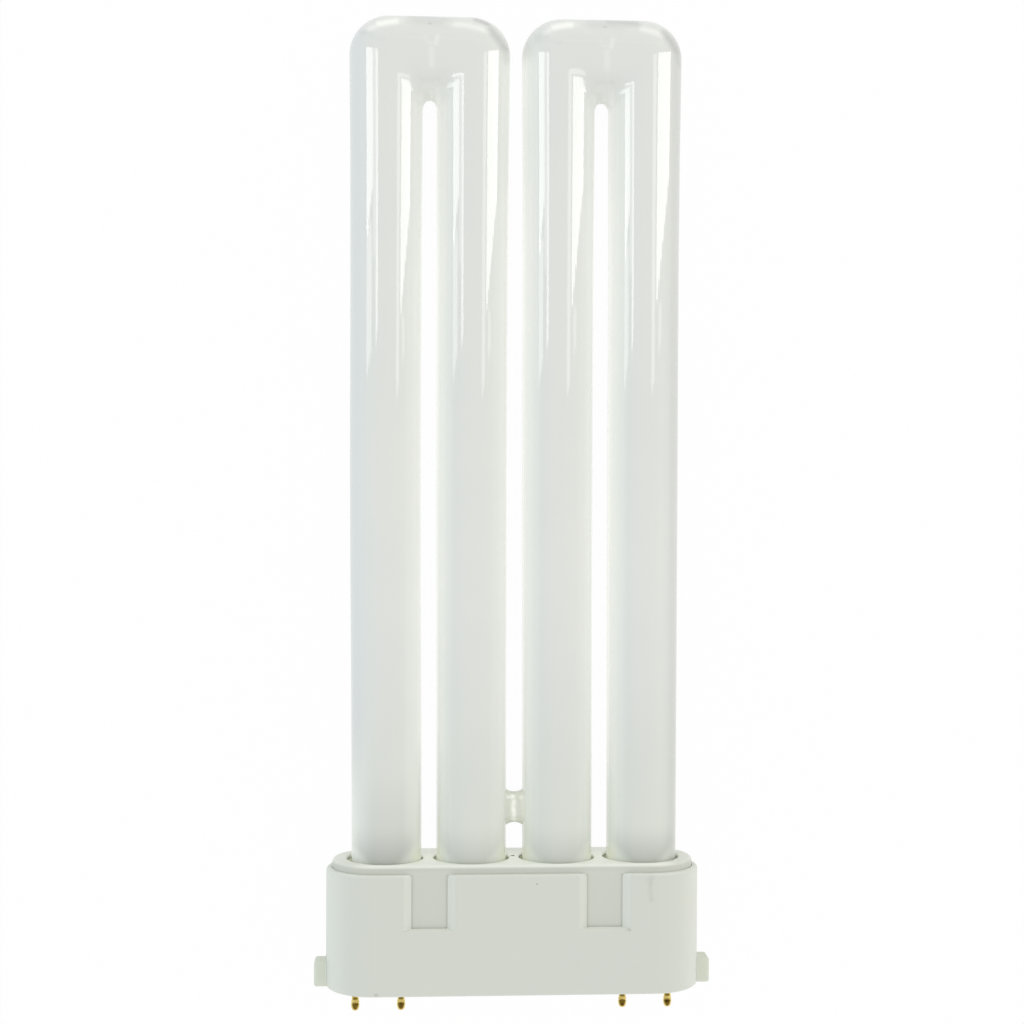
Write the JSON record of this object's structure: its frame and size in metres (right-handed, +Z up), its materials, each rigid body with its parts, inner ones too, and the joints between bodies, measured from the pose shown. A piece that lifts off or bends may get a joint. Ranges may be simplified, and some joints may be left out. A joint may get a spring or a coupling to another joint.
{
  "type": "pin-base compact fluorescent lamp",
  "caption": "Flat compact fluorescent lamp: straight white glass legs joined in pairs by squared bends, in a slim plastic cap with side lugs and gilt contact pins.",
  "frame": {"origin": "bottom centre of the lamp's box as it lies on its back: z = 0 is the surface that it rests on", "axes": "+Y runs along the legs from the pins to the bends, +X along the row of legs, and +Z is up, out of the lamp's front. The legs lean 0.9 degrees down towards the bends, because the cap is deeper than the legs"},
  "size_m": [0.0864, 0.2168, 0.0218],
  "materials": {
    "phosphor_glass": "clear glass with a white powder coat on its inside",
    "cap_plastic": "off-white moulded plastic, satin",
    "holder_plastic": "off-white moulded plastic, satin",
    "cement": "matt white cement",
    "gilt_brass": "gilt brass",
    "nickel_wire": "drawn nickel wire"
  },
  "bodies": {
    "root": {"discharge_tube": "phosphor_glass", "base_shell": "cap_plastic", "tube_holder": "holder_plastic", "tube_cement_1": "cement", "tube_cement_2": "cement", "tube_cement_3": "cement", "tube_cement_4": "cement", "contact_pin_1": "gilt_brass", "contact_pin_2": "gilt_brass", "contact_pin_3": "gilt_brass", "contact_pin_4": "gilt_brass", "lead_wire_1": "nickel_wire", "lead_wire_2": "nickel_wire", "lead_wire_3": "nickel_wire", "lead_wire_4": "nickel_wire"}
  },
  "joints": []
}
